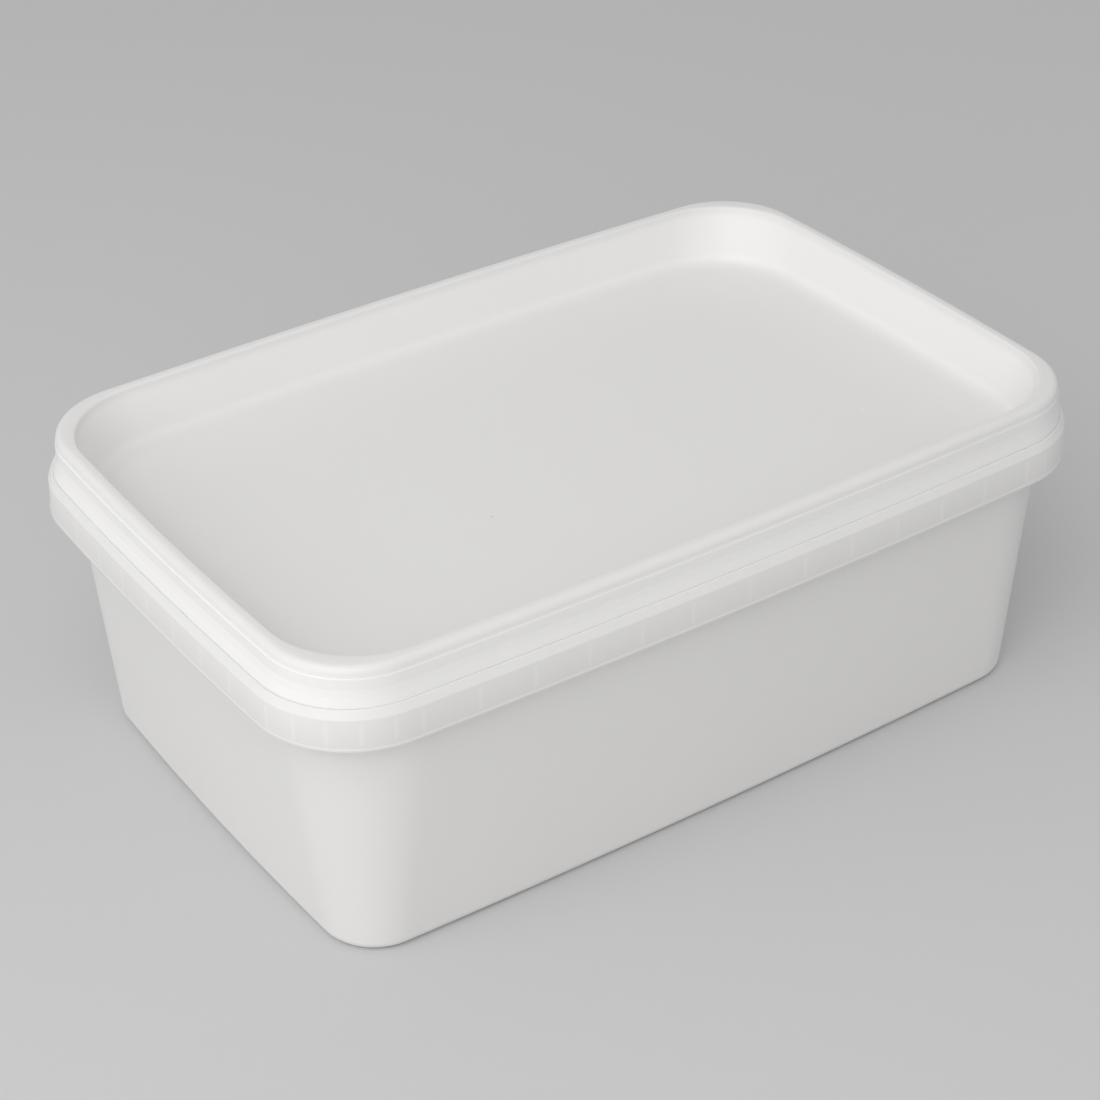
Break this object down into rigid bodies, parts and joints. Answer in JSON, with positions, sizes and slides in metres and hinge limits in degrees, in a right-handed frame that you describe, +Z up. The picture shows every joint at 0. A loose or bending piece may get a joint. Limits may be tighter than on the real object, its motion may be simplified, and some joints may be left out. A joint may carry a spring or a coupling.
{
  "type": "lidded food tub",
  "caption": "Rectangular lidded food tub of white plastic, with tapered walls, a hanging collar round the mouth and a lid with a deep sunken panel.",
  "frame": {"origin": "middle of the underside, on the surface that the tub stands on", "axes": "+X along the tub, +Y across it, +Z up"},
  "size_m": [0.228, 0.148, 0.084],
  "materials": {
    "tub_plastic": "satin white polypropylene, slightly translucent where thin",
    "lid_plastic": "satin white polypropylene, slightly translucent where thin"
  },
  "bodies": {
    "root": {"tub": "tub_plastic", "lid": "lid_plastic"}
  },
  "joints": []
}
